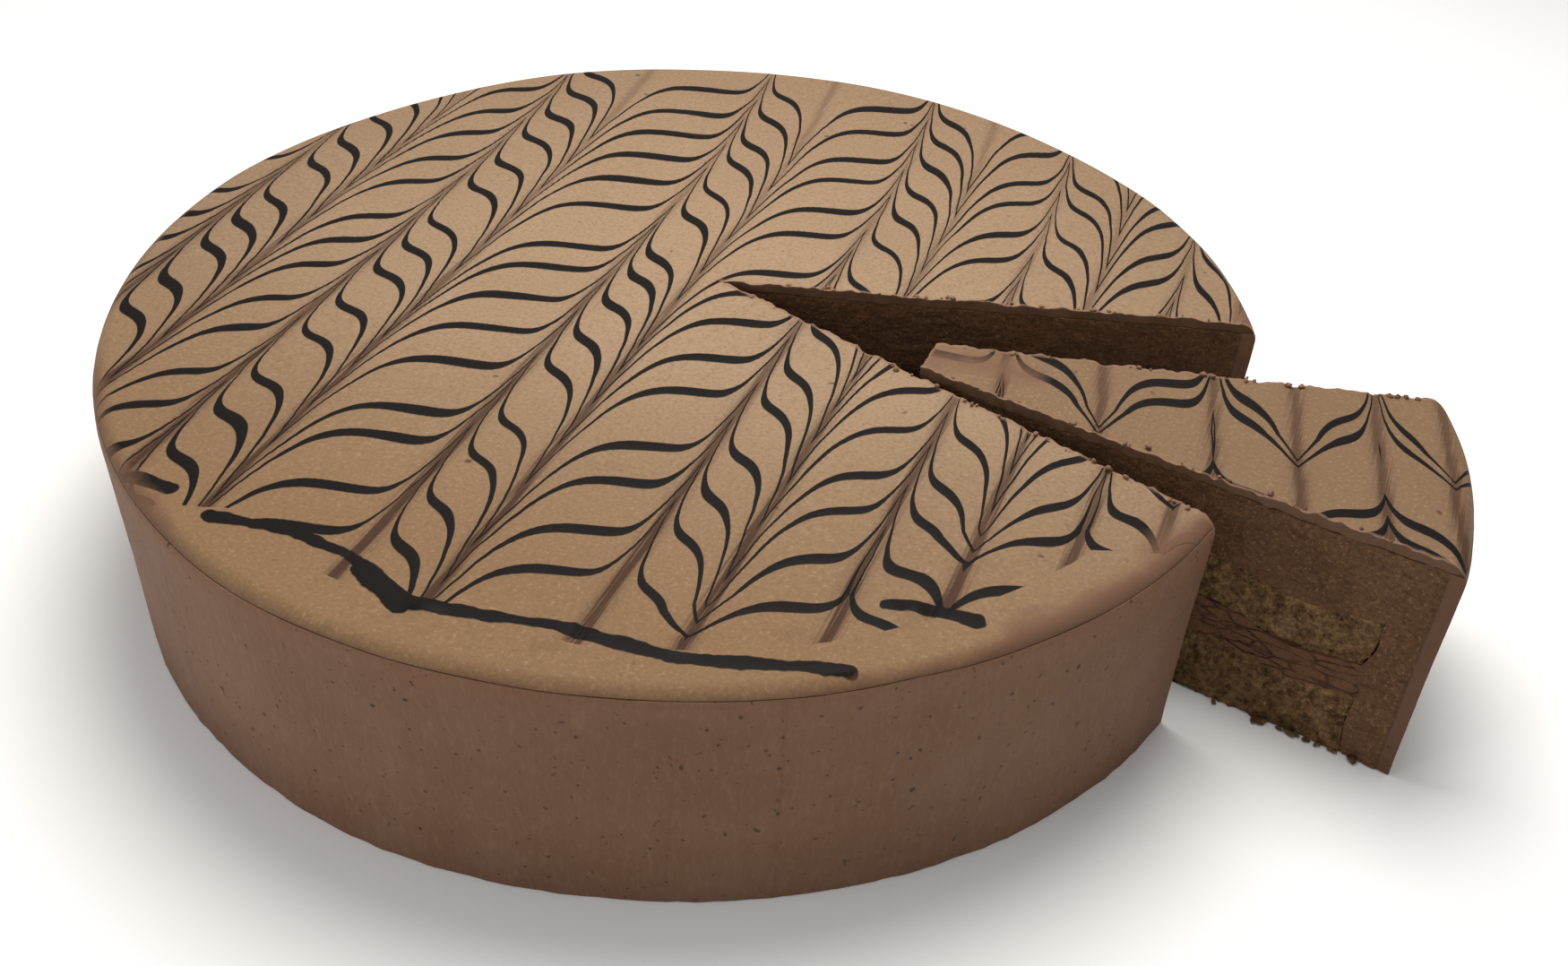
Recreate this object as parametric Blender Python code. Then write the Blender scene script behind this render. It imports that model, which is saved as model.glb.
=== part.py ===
"""A round chocolate mousse cake under feathered icing, with one slice drawn partly out of its notch.

Units are metres, +Z up. The origin is the middle of the cake's base, and the notch opens along +X.
Each layer is turned round the cake's axis. One wedge cuts the notch out of the layer, and a narrower
wedge keeps the slice's share of the same layer, which then stands where the slice was drawn to.
"""

import math

import bmesh
import bpy
from mathutils import Vector

# Driving dimensions of the whole cake
CAKE_RADIUS = 0.130
FOOT_RADIUS = 0.128
CAKE_HEIGHT = 0.0567
EDGE_ROUNDING = 0.004
MOUSSE_WALL = 0.010
TOUCHING_GAP = 0.0003

# Heights of the layers' tops, from the base up
LOWER_SPONGE_TOP = 0.0159
FILLING_TOP = 0.0244
UPPER_SPONGE_TOP = 0.0363
ICING_THICKNESS = 0.002

# The notch: its point in plan, and the directions of its two cut faces
NOTCH_POINT = Vector((0.003, 0.011))
NOTCH_NEAR_DIRECTION = math.radians(-18.4)
NOTCH_FAR_DIRECTION = math.radians(16.7)

# The slice as it was cut: the two corners of its blunt tip, and the directions of its sides
SLICE_TIP_NEAR = Vector((0.0137, 0.0096))
SLICE_TIP_FAR = Vector((0.0155, 0.0205))
SLICE_NEAR_DIRECTION = math.radians(-19.4)
SLICE_FAR_DIRECTION = math.radians(4.4)

# How far the slice was then drawn out, and how it turned on the way
SLICE_DRAWN_OUT = Vector((0.0447, -0.0157, 0.0))
SLICE_TURN = math.radians(9.0)

# How finely the round forms are divided
SEGMENTS = 96
EDGE_STEPS = 4
ICING_RINGS = 6
CUTTER_MARGIN = 0.01
CUT_REACH = CAKE_RADIUS * 1.4

# A hand-spread cake is a little out of round, and its top is a little uneven
OUT_OF_ROUND = ((2, 0.0007, 0.6), (3, 0.0004, 2.1), (5, 0.0003, 4.0))
TOP_UNEVENNESS = 0.0004
UNEVEN_LENGTH = 0.021

MATERIALS = {
    "sponge": ((0.30, 0.17, 0.08), 0.95),
    "filling": ((0.13, 0.065, 0.035), 0.75),
    "mousse": ((0.17, 0.095, 0.060), 0.70),
    "icing": ((0.45, 0.28, 0.18), 0.60),
}


def clear_scene():
    for thing in list(bpy.data.objects):
        bpy.data.objects.remove(thing, do_unlink=True)


def food_material(name):
    colour, roughness = MATERIALS[name]
    material = bpy.data.materials.new(name)
    material.use_nodes = True
    shader = material.node_tree.nodes["Principled BSDF"]
    shader.inputs["Base Color"].default_value = (*colour, 1.0)
    shader.inputs["Roughness"].default_value = roughness
    shader.inputs["Metallic"].default_value = 0.0
    return material


def place_object(name, mesh, material=None):
    thing = bpy.data.objects.new(name, mesh)
    bpy.context.scene.collection.objects.link(thing)
    if material:
        mesh.materials.append(material)
    return thing


def settled(point):
    """Where a point of the ideal round cake lies in the slightly uneven real one."""
    angle = math.atan2(point.y, point.x)
    radius = math.hypot(point.x, point.y)
    outwards = sum(size * math.sin(waves * angle + start) for waves, size, start in OUT_OF_ROUND)
    stretch = 1.0 + outwards * radius / CAKE_RADIUS ** 2
    ripple = math.sin(point.x / UNEVEN_LENGTH + 1.0) * math.cos(point.y / UNEVEN_LENGTH)
    lift = TOP_UNEVENNESS * ripple * point.z / CAKE_HEIGHT
    return Vector((point.x * stretch, point.y * stretch, point.z + lift))


def turned_mesh(name, profile):
    """A closed mesh turned round Z from a profile that starts and ends on the axis."""
    shape = bmesh.new()
    corners = [shape.verts.new((radius, 0.0, height)) for radius, height in profile]
    for first, second in zip(corners, corners[1:]):
        shape.edges.new((first, second))
    bmesh.ops.spin(
        shape, geom=shape.verts[:] + shape.edges[:], cent=(0, 0, 0), axis=(0, 0, 1),
        angle=math.tau, steps=SEGMENTS, use_merge=True,
    )
    bmesh.ops.remove_doubles(shape, verts=shape.verts[:], dist=1e-6)
    for vertex in shape.verts:
        vertex.co = settled(vertex.co)
    bmesh.ops.recalc_face_normals(shape, faces=shape.faces[:])
    mesh = bpy.data.meshes.new(name)
    shape.to_mesh(mesh)
    shape.free()
    mesh.shade_smooth()
    mesh.set_sharp_from_angle(angle=math.radians(40))
    return mesh


def wall_radius(height):
    """The outer wall leans out a little from the foot up to where the edge starts to round."""
    share = min(height / (CAKE_HEIGHT - EDGE_ROUNDING), 1.0)
    return FOOT_RADIUS + (CAKE_RADIUS - FOOT_RADIUS) * share


def edge_arc(low, high):
    """Points of the rounded top edge between two heights, the lower one first."""
    centre_height = CAKE_HEIGHT - EDGE_ROUNDING
    start = math.asin((low - centre_height) / EDGE_ROUNDING)
    end = math.asin(min((high - centre_height) / EDGE_ROUNDING, 1.0))
    points = []
    for step in range(EDGE_STEPS + 1):
        angle = start + (end - start) * step / EDGE_STEPS
        radius = CAKE_RADIUS - EDGE_ROUNDING * (1.0 - math.cos(angle))
        points.append((radius, centre_height + EDGE_ROUNDING * math.sin(angle)))
    return points


def inner_profile(bottom, top):
    """A sponge or filling disc, which stops where the mousse wall begins."""
    foot = wall_radius(bottom) - MOUSSE_WALL - TOUCHING_GAP
    rim = wall_radius(top) - MOUSSE_WALL - TOUCHING_GAP
    middle = foot / 2.0
    return [(0, bottom), (middle, bottom), (foot, bottom), (rim, top), (middle, top), (0, top)]


def mousse_profile():
    """The mousse: a slab over the upper sponge and a wall down to the base."""
    under = UPPER_SPONGE_TOP + TOUCHING_GAP
    top = CAKE_HEIGHT - ICING_THICKNESS - TOUCHING_GAP
    inner_foot = FOOT_RADIUS - MOUSSE_WALL
    inner_rim = wall_radius(under) - MOUSSE_WALL
    inside = [(0, under), (inner_rim / 2.0, under), (inner_rim, under), (inner_foot, 0), (FOOT_RADIUS, 0)]
    shoulder = edge_arc(CAKE_HEIGHT - EDGE_ROUNDING, top)
    wall = [(wall_radius(CAKE_HEIGHT * share), CAKE_HEIGHT * share) for share in (0.35, 0.7)]
    return inside + wall + shoulder + [(CAKE_RADIUS / 2.0, top), (0, top)]


def icing_profile():
    """The icing: a thin sheet that thins away over the rounded edge."""
    under = CAKE_HEIGHT - ICING_THICKNESS
    shoulder = edge_arc(under, CAKE_HEIGHT)
    flat_radius = CAKE_RADIUS - EDGE_ROUNDING
    rings = [flat_radius * step / ICING_RINGS for step in range(ICING_RINGS)]
    underside = [(radius, under) for radius in rings]
    surface = [(radius, CAKE_HEIGHT) for radius in reversed(rings)]
    return underside + shoulder + surface


def prism_cutter(name, outline):
    """An upright prism over a plan outline, taller than the cake on both sides."""
    shape = bmesh.new()
    base = shape.faces.new([shape.verts.new((x, y, -CUTTER_MARGIN)) for x, y in outline])
    grown = bmesh.ops.extrude_face_region(shape, geom=[base])
    raised = [item for item in grown["geom"] if isinstance(item, bmesh.types.BMVert)]
    bmesh.ops.translate(shape, verts=raised, vec=(0, 0, CAKE_HEIGHT + 2 * CUTTER_MARGIN))
    bmesh.ops.recalc_face_normals(shape, faces=shape.faces[:])
    mesh = bpy.data.meshes.new(name)
    shape.to_mesh(mesh)
    shape.free()
    cutter = place_object(name, mesh)
    cutter.hide_render = True
    cutter.display_type = "WIRE"
    return cutter


def reaching(start, direction):
    """A point well past the cake's rim, in a direction from a point near its middle."""
    return start + CUT_REACH * Vector((math.cos(direction), math.sin(direction)))


def notch_outline():
    near = reaching(NOTCH_POINT, NOTCH_NEAR_DIRECTION)
    far = reaching(NOTCH_POINT, NOTCH_FAR_DIRECTION)
    return [NOTCH_POINT, near, far]


def slice_outline():
    near = reaching(SLICE_TIP_NEAR, SLICE_NEAR_DIRECTION)
    far = reaching(SLICE_TIP_FAR, SLICE_FAR_DIRECTION)
    return [SLICE_TIP_NEAR, near, far, SLICE_TIP_FAR]


def drawn_out_place():
    """An empty that stands for how far the slice was drawn out and turned."""
    place = place_object("slice_place", None)
    place.location = SLICE_DRAWN_OUT
    place.rotation_euler = (0.0, 0.0, SLICE_TURN)
    return place


def cut_layer(thing, cutter, operation):
    cut = thing.modifiers.new("cut", "BOOLEAN")
    cut.object = cutter
    cut.operation = operation
    cut.solver = "EXACT"


def build_layers():
    layers = {
        "lower_sponge": ("sponge", inner_profile(0.0, LOWER_SPONGE_TOP)),
        "filling": ("filling", inner_profile(LOWER_SPONGE_TOP + TOUCHING_GAP, FILLING_TOP)),
        "upper_sponge": ("sponge", inner_profile(FILLING_TOP + TOUCHING_GAP, UPPER_SPONGE_TOP)),
        "mousse": ("mousse", mousse_profile()),
        "icing": ("icing", icing_profile()),
    }
    materials = {name: food_material(name) for name in MATERIALS}
    notch = prism_cutter("notch_cutter", notch_outline())
    wedge = prism_cutter("slice_cutter", slice_outline())
    place = drawn_out_place()
    wedge.parent = place
    for layer, (finish, profile) in layers.items():
        mesh = turned_mesh(layer, profile)
        cake_layer = place_object(f"cake_{layer}", mesh, materials[finish])
        cut_layer(cake_layer, notch, "DIFFERENCE")
        slice_layer = place_object(f"slice_{layer}", mesh)
        slice_layer.parent = place
        cut_layer(slice_layer, wedge, "INTERSECT")


def main():
    clear_scene()
    build_layers()


main()
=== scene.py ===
# %% [markdown]
# # A feathered chocolate mousse cake
# The cake is a round of sponge and mousse in a mousse coat, with a thin icing sheet on top. One slice is
# drawn partly out of its notch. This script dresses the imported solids: each layer is rebuilt as a finer
# mesh of the same form, and gets a finish made of shader nodes.

import math
import random
from functools import reduce

import bmesh
import bpy
import numpy as np
from mathutils import Matrix, Vector, noise


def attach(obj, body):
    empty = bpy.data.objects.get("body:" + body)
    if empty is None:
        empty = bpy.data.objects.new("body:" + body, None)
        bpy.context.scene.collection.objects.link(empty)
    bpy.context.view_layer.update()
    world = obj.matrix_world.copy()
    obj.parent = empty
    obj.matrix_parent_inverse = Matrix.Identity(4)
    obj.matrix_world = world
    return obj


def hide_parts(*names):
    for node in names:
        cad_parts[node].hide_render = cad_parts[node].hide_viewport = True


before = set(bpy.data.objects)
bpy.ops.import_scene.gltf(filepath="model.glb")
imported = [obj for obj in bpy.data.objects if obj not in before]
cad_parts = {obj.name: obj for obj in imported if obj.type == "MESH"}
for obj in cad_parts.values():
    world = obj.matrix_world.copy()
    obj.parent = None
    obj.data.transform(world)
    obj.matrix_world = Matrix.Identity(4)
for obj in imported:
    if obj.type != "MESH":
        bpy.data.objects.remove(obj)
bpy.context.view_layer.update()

# %% [markdown]
# ## Sizes
# These repeat the part's own driving dimensions, in metres, because a node's box cannot tell a wedge's
# direction or a wall's lean.

# %% Sizes
RADIUS = 0.130
FOOT_RADIUS = 0.128
EDGE_ROUNDING = 0.004
MOUSSE_WALL = 0.010
LAYER_GAP = 0.0003
CAKE_HEIGHT = 0.0567
LAYER_SPANS = {
    "lower_sponge": (0.0, 0.0159),
    "filling": (0.0162, 0.0244),
    "upper_sponge": (0.0247, 0.0363),
}
MOUSSE_SPAN = (0.0366, 0.0544)
ICING_SPAN = (0.0547, CAKE_HEIGHT)

NOTCH_POINT = Vector((0.003, 0.011))
NOTCH_NEAR = math.radians(-18.4)
NOTCH_FAR = math.radians(16.7)

SLICE_TIP_NEAR = Vector((0.0137, 0.0096))
SLICE_TIP_FAR = Vector((0.0155, 0.0205))
SLICE_NEAR = math.radians(-19.4)
SLICE_FAR = math.radians(4.4)
SLICE_PLACE = Matrix.Translation((0.0447, -0.0157, 0.0)) @ Matrix.Rotation(math.radians(9.0), 4, "Z")
print("height", CAKE_HEIGHT, "radius", RADIUS)

# %% [markdown]
# ## The camera
# The photograph looks down on the cake from the front. The view is given by a distance and an elevation,
# a small roll, and a small sideways move, all in units of the cake's radius. The camera stands 20 degrees
# round from the front, because the notch lies along +X here.

# %% Camera
VIEW_TURN = math.radians(20.0)
VIEW_ELEVATION = math.radians(37.1507)
VIEW_ROLL = math.radians(2.8547)
VIEW_DISTANCE = 3.4194 * RADIUS
VIEW_MOVE = (0.1809 * RADIUS, 0.0285 * RADIUS)
FOCAL_PIXELS = 2000
IMAGE_WIDTH = 1750
SENSOR_WIDTH = 36.0


def aim_camera():
    """A camera on a circle round the base's middle, rolled and moved in its own picture plane."""
    back = Vector((0.0, -math.cos(VIEW_ELEVATION), math.sin(VIEW_ELEVATION)))
    level_up = back.cross(Vector((1.0, 0.0, 0.0)))
    right = Vector((1.0, 0.0, 0.0)) * math.cos(VIEW_ROLL) + level_up * math.sin(VIEW_ROLL)
    up = level_up * math.cos(VIEW_ROLL) - Vector((1.0, 0.0, 0.0)) * math.sin(VIEW_ROLL)
    eye = back * VIEW_DISTANCE + right * VIEW_MOVE[0] + up * VIEW_MOVE[1]
    turned = Matrix((right, up, back)).transposed().to_4x4()
    data = bpy.data.cameras.new("photo_camera")
    data.sensor_width = SENSOR_WIDTH
    data.lens = FOCAL_PIXELS / IMAGE_WIDTH * SENSOR_WIDTH
    camera = bpy.data.objects.new("photo_camera", data)
    camera.matrix_world = Matrix.Rotation(VIEW_TURN, 4, "Z") @ Matrix.Translation(eye) @ turned
    bpy.context.scene.collection.objects.link(camera)
    bpy.context.scene.camera = camera
    return camera


print("camera at", list(aim_camera().matrix_world.translation))

# %% [markdown]
# ## Light and floor
# Soft light from above and behind makes the top the brightest face and leaves the wall in half shade,
# as in a shop's display. A large area lamp does it, with a pale sky for the shadows.

# %% Studio
FLOOR_COLOUR = (0.86, 0.86, 0.86)
SKY_COLOUR = (1.0, 0.99, 0.97)
SKY_STRENGTH = 0.55
FLOOR_REACH = 4.0
FLOOR_DROP = 0.0002


def area_lamp(name, place, size, power, colour):
    data = bpy.data.lights.new(name, "AREA")
    data.shape = "DISK"
    data.size = size
    data.energy = power
    data.color = colour
    lamp = bpy.data.objects.new(name, data)
    lamp.location = place
    lamp.rotation_euler = (-Vector(place)).to_track_quat("-Z", "Y").to_euler()
    bpy.context.scene.collection.objects.link(lamp)


def pale_floor():
    shape = bmesh.new()
    bmesh.ops.create_circle(shape, cap_ends=True, segments=64, radius=FLOOR_REACH)
    mesh = bpy.data.meshes.new("floor")
    shape.to_mesh(mesh)
    shape.free()
    material = bpy.data.materials.new("floor")
    material.use_nodes = True
    shader = material.node_tree.nodes["Principled BSDF"]
    shader.inputs["Base Color"].default_value = (*FLOOR_COLOUR, 1.0)
    shader.inputs["Roughness"].default_value = 0.9
    mesh.materials.append(material)
    floor = bpy.data.objects.new("floor", mesh)
    floor.location.z = -FLOOR_DROP
    bpy.context.scene.collection.objects.link(floor)


def pale_sky():
    world = bpy.data.worlds.new("studio")
    world.use_nodes = True
    background = world.node_tree.nodes["Background"]
    background.inputs["Color"].default_value = (*SKY_COLOUR, 1.0)
    background.inputs["Strength"].default_value = SKY_STRENGTH
    bpy.context.scene.world = world


area_lamp("top_light", place=(-0.02, 0.14, 0.55), size=0.40, power=3.6, colour=(1.0, 0.97, 0.93))
area_lamp("left_fill", place=(-0.9, -0.9, 0.5), size=0.9, power=3.2, colour=(1.0, 0.98, 0.96))
pale_sky()
bpy.context.scene.view_settings.view_transform = "Standard"
pale_floor()
print("studio ready")

# %% [markdown]
# ## Shader maths as Python
# A finish is easier to read as a formula than as boxes and wires. `Value` wraps a node's socket, so an
# expression such as `1 - mask * 2` adds the Math nodes. The same formulas also run on plain arrays,
# which lets the mesh's relief and the finish's colour follow one pattern.

# %% Value and Finish


class Value:
    """A number socket that takes part in Python expressions."""

    def __init__(self, finish, socket):
        self.finish = finish
        self.socket = socket

    def _math(self, operation, *others):
        values = {place: other for place, other in enumerate((self, *others))}
        return self.finish.node("Math", {"operation": operation}, values)

    def __add__(self, other):
        return self._math("ADD", other)

    def __sub__(self, other):
        return self._math("SUBTRACT", other)

    def __rsub__(self, other):
        return self.finish.node("Math", {"operation": "SUBTRACT"}, {0: other, 1: self})

    def __mul__(self, other):
        return self._math("MULTIPLY", other)

    def __truediv__(self, other):
        return self._math("DIVIDE", other)

    def __abs__(self):
        return self._math("ABSOLUTE")

    def least(self, other):
        return self._math("MINIMUM", other)

    def most(self, other):
        return self._math("MAXIMUM", other)

    def above(self, edge):
        return self._math("GREATER_THAN", edge)

    def exponential(self):
        return self._math("EXPONENT")

    def root(self):
        return self._math("SQRT")

    def clamped(self):
        return self.most(0.0).least(1.0)

    __radd__ = __add__
    __rmul__ = __mul__


class Finish:
    """One material: a Principled shader, and helpers that add the nodes behind its sockets."""

    def __init__(self, name, roughness, specular=0.35):
        self.material = bpy.data.materials.new(name)
        self.material.use_nodes = True
        self.tree = self.material.node_tree
        self.shader = self.tree.nodes["Principled BSDF"]
        self.shader.inputs["Roughness"].default_value = roughness
        self.shader.inputs["Specular IOR Level"].default_value = specular
        self.point = self.node("TexCoord", {}, {}, "Object")

    def node(self, kind, settings, values, output=0):
        made = self.tree.nodes.new("ShaderNode" + kind)
        for name, setting in settings.items():
            setattr(made, name, setting)
        for place, value in values.items():
            if isinstance(value, Value):
                self.tree.links.new(value.socket, made.inputs[place])
            else:
                made.inputs[place].default_value = value
        return Value(self, made.outputs[output])

    def axes(self):
        split = self.node("SeparateXYZ", {}, {0: self.point})
        outputs = split.socket.node.outputs
        return [Value(self, outputs[axis]) for axis in ("X", "Y", "Z")]

    def stretched(self, scale):
        return self.node("Mapping", {}, {"Vector": self.point, "Scale": scale})

    def grain(self, scale, detail=3.0, roughness=0.55, vector=None):
        """Smooth noise between 0 and 1, with its scale in features a metre."""
        values = {"Vector": vector or self.point, "Scale": scale, "Detail": detail, "Roughness": roughness}
        return self.node("TexNoise", {}, values)

    def attribute(self, name):
        return self.node("Attribute", {"attribute_name": name}, {}, "Fac")

    def blend(self, factor, first, second):
        """The first colour at factor nought, and the second at 1."""
        return self.node("Mix", {"data_type": "RGBA"}, {"Factor": factor, 6: first, 7: second}, 2)

    def bump(self, height, distance):
        return self.node("Bump", {}, {"Height": height, "Distance": distance, "Strength": 1.0})

    def feed(self, **sockets):
        for name, value in sockets.items():
            self.tree.links.new(value.socket, self.shader.inputs[name.replace("_", " ")])
        return self.material


def least(first, second):
    if isinstance(first, Value):
        return first.least(second)
    return np.minimum(first, second)


def most(first, second):
    if isinstance(first, Value):
        return first.most(second)
    return np.maximum(first, second)


def fading(distance, length):
    """1 at distance nought, falling away exponentially over a length."""
    scaled = distance * (-1.0 / length)
    return scaled.exponential() if isinstance(scaled, Value) else np.exp(scaled)


def root(value):
    return value.root() if isinstance(value, Value) else np.sqrt(value)


def segment_distance(x, y, start, end):
    """How far a point is from the straight line between two points."""
    along_x, along_y = end[0] - start[0], end[1] - start[1]
    length_squared = along_x ** 2 + along_y ** 2
    share = ((x - start[0]) * along_x + (y - start[1]) * along_y) * (1.0 / length_squared)
    share = least(most(share, 0.0), 1.0)
    gap_x = x - start[0] - share * along_x
    gap_y = y - start[1] - share * along_y
    return root(gap_x * gap_x + gap_y * gap_y)


def path_distance(x, y, path):
    return reduce(least, [segment_distance(x, y, start, end) for start, end in zip(path, path[1:])])


def beyond(value, edge):
    if isinstance(value, Value):
        return value.above(edge)
    return (value > edge).astype(float)


def rgba(red, green, blue):
    return (red, green, blue, 1.0)


print("maths ready")

# %% [markdown]
# ## The feathered pattern
# A baker pipes dark chocolate lines across the wet icing and draws a skewer through them, up and down by
# turns. A point of the pattern is therefore a point of a plain line that was dragged along the nearest
# stroke. So the formula drags the point back and asks how far it is from the nearest piped line. A stroke
# away from the front (1) pulls a short narrow peak, and one towards the front (-1) a long wide one.
# Lengths are in cake radii, and the plan is turned so that the piped lines run nearly along X. The lines
# lie in even steps with a hand's small unevenness, and jump a little where a stroke broke them. The slice
# has two pairs of lines. The strokes begin softly, past the calm line, and the icing is bare in front of
# the bare radius, where a line was piped along the rim by hand.

# %% Pattern
LINE_TURN = VIEW_TURN
DRAG = {1: 0.21, -1: 0.30}
DRAG_REACH = {1: 0.0125, -1: 0.027}
STROKE_WIDTH = 0.0065
LINE_HALF_WIDTH = 0.0118
BEND_START = 0.35
PIPING_SEED = 5
PIPING_WANDER = 0.02
BREAK_JUMP = 0.012
FAR_AWAY = 9.0
SLICE_PAIRS = (0.015, -0.26)
PAIR_GAP = 0.06


def piped_bands(first, spacing, count, breaks):
    """Each band's start and its lines' heights: even steps, with the small unevenness of a hand."""
    chance = random.Random(PIPING_SEED)
    steps = [first - place * spacing for place in range(count)]
    lines = [height + chance.uniform(-PIPING_WANDER, PIPING_WANDER) for height in steps]
    bands = [(-FAR_AWAY, lines)]
    for start in breaks:
        bands.append((start, [height + chance.uniform(-BREAK_JUMP, BREAK_JUMP) for height in lines]))
    return bands


ROUND_PATTERN = {
    "direction": math.radians(71.0),
    "strokes": (
        (-0.915, 1), (-0.765, -1), (-0.59, 1), (-0.43, -1), (-0.17, 1), (-0.025, -1),
        (0.20, 1), (0.34, -1), (0.515, 1), (0.65, -1), (0.79, 1), (0.905, -1),
    ),
    "bend": 0.12,
    "slope": -0.18,
    "bands": piped_bands(first=0.86, spacing=0.116, count=15, breaks=(-0.43, -0.17, 0.20, 0.34)),
    "calm": (-1.19, 1.0),
    "bare": (0.905, 0.64),
    "paths": (
        ((-0.66, -0.66), (-0.54, -0.685), (-0.44, -0.735), (-0.33, -0.836), (-0.125, -0.867),
         (0.05, -0.918), (0.28, -0.924)),
        ((-0.42, -0.765), (-0.345, -0.845)),
        ((0.33, -0.788), (0.40, -0.798), (0.455, -0.812)),
        ((-0.848, -0.555), (-0.736, -0.602)),
    ),
    "smears": (((0.54, -0.83), (0.66, -0.74), (0.78, -0.62)), ((-0.86, -0.55), (-0.74, -0.70))),
}
SLICE_PATTERN = {
    "direction": math.radians(80.5),
    "strokes": ((0.56, 1), (0.727, -1), (0.912, 1), (1.045, -1), (1.175, 1), (1.285, -1)),
    "bend": 0.0,
    "slope": -0.27,
    "bands": [(-FAR_AWAY, [middle + side * PAIR_GAP / 2 for middle in SLICE_PAIRS for side in (1, -1)])],
    "calm": (-0.28, 0.0),
    "bare": (FAR_AWAY, FAR_AWAY),
    "paths": (),
    "smears": (((0.36, -0.14), (0.50, -0.15), (0.58, -0.185)),),
}


def plan_point(x, y):
    """A point of the part's plan in cake radii, turned so that the piped lines run along X."""
    cosine, sine = math.cos(LINE_TURN) / RADIUS, math.sin(LINE_TURN) / RADIUS
    return x * cosine + y * sine, y * cosine - x * sine


def stroke_drag(across, strokes):
    """How far the strokes dragged the lines at a place, and how near a stroke is (1 on it)."""
    dragged, stroke = 0.0, 0.0
    for place, side in strokes:
        distance = abs(across - place)
        dragged = fading(distance, DRAG_REACH[side]) * (side * DRAG[side]) + dragged
        stroke = fading(distance, STROKE_WIDTH) + stroke
    return dragged, stroke


def line_distance(level, across, bands):
    """How far a level is from the nearest piped line of the band that it lies in."""
    distances = [reduce(least, [abs(level - height) for height in heights]) for _, heights in bands]
    nearest = distances[0]
    for (start, _), distance in zip(bands[1:], distances[1:]):
        nearest = nearest + (distance - nearest) * beyond(across, start)
    return nearest


def feathered(x, y, pattern):
    """How far a point is from the nearest piped line, how near a stroke is, and how far along it."""
    plan_x, plan_y = plan_point(x, y)
    cosine, sine = math.cos(pattern["direction"]), math.sin(pattern["direction"])
    along = plan_x * cosine + plan_y * sine
    late = most(along - BEND_START, 0.0)
    across = plan_x * sine - plan_y * cosine + late * late * pattern["bend"]
    calm_start, calm_lean = pattern["calm"]
    strength = least(most((along - across * calm_lean - calm_start) * 7.7, 0.3), 1.0)
    dragged, stroke = stroke_drag(across, pattern["strokes"])
    level = plan_y - dragged * strength - plan_x * pattern["slope"]
    bare_radius, bare_front = pattern["bare"]
    out = root(plan_x * plan_x + plan_y * plan_y)
    bare = beyond(out, bare_radius) * beyond(plan_y * -1.0, bare_front)
    return line_distance(level, across, pattern["bands"]) + bare, stroke * (1 - bare), along


def hand_piped(x, y, pattern, ragged):
    """How far a point is from the lines piped by hand, with a ragged border."""
    plan_x, plan_y = plan_point(x, y)
    nearest = FAR_AWAY
    for path in pattern["paths"]:
        nearest = least(path_distance(plan_x, plan_y, path) + ragged, nearest)
    return nearest


print("pattern ready")

# %% [markdown]
# ## Icing finish
# The icing is pale milk chocolate, with dark lines that thin out where the skewer passed. Its tan carries
# painted light: lightest in the middle where painted light falls, with painted shade towards the rim and more
# at the front, which is also yellower, and the slice's icing is a darker, shaded copy of the tan. Along a
# stroke the two chocolates mix to brown threads. The coat's brown creeps over the rim, and in a few places
# the knife smeared it inwards. Granules and air bubbles roughen the surface, and the bubbles' dark dots are
# painted shade.

# %% Icing finish
# Painted light: the middle tan is the lit colour, and the rim, front and slice tans are painted shade.
TAN_LIT_MIDDLE = rgba(0.296, 0.200, 0.125)
TAN_RIM_SHADE = rgba(0.237, 0.155, 0.094)
TAN_FRONT_SHADE = rgba(0.214, 0.127, 0.066)
TAN_SLICE_SHADE = rgba(0.190, 0.1175, 0.066)
GRANULE_DARK = rgba(0.135, 0.080, 0.045)
GRANULE_LIGHT = rgba(0.40, 0.285, 0.185)
BUBBLE_SHADE = rgba(0.05, 0.025, 0.016)
DARK_LINE = rgba(0.006, 0.0045, 0.004)
SHAFT_BROWN = rgba(0.135, 0.073, 0.042)
DRAG_BROWN = rgba(0.045, 0.020, 0.013)
SMEARED_COAT = rgba(0.150, 0.080, 0.050)
TORN_EDGE = rgba(0.235, 0.135, 0.088)
CUT_ICING = rgba(0.13, 0.072, 0.043)
LINE_SOFTNESS = 0.0022
SMEAR_REACH = 0.05


def round_tan_painted_light(finish, x, y):
    """Painted light on the round's tan: pale in the middle where painted light falls, darker towards the rim
    as painted shade, and yellower and darker still at the front.
    """
    plan_x, plan_y = plan_point(x, y)
    # Painted shade towards the rim, and more at the front.
    rim = ((plan_x * plan_x + plan_y * plan_y) * 1.25 - 0.1).clamped()
    front = ((plan_x * 0.35 + plan_y) * -1.5 - 0.25).clamped()
    return finish.blend(front, finish.blend(rim, TAN_LIT_MIDDLE, TAN_RIM_SHADE), TAN_FRONT_SHADE)


def creeping_rim(finish, x, y):
    """Where the coat's brown covers the rim of the round, furthest in at the right of the front."""
    plan_x, plan_y = plan_point(x, y)
    right = ((plan_x * 0.8 - plan_y * 0.6 - 0.6) * 2.5).clamped()
    out = root(plan_x * plan_x + plan_y * plan_y)
    ragged = finish.grain(50.0, 5.0, 0.65) - 0.5
    return ((out + right * 0.022 - 0.984) * 34 + ragged * 3.4).clamped()


def knife_smears(finish, x, y, pattern):
    """Where the knife drew the coat's brown over the icing."""
    plan_x, plan_y = plan_point(x, y)
    ragged = (finish.grain(75.0, 4.0, 0.6) - 0.5) * 2.2
    nearest = reduce(least, [path_distance(plan_x, plan_y, path) for path in pattern["smears"]])
    return (nearest * -22 + SMEAR_REACH * 22 + ragged).clamped()


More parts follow.
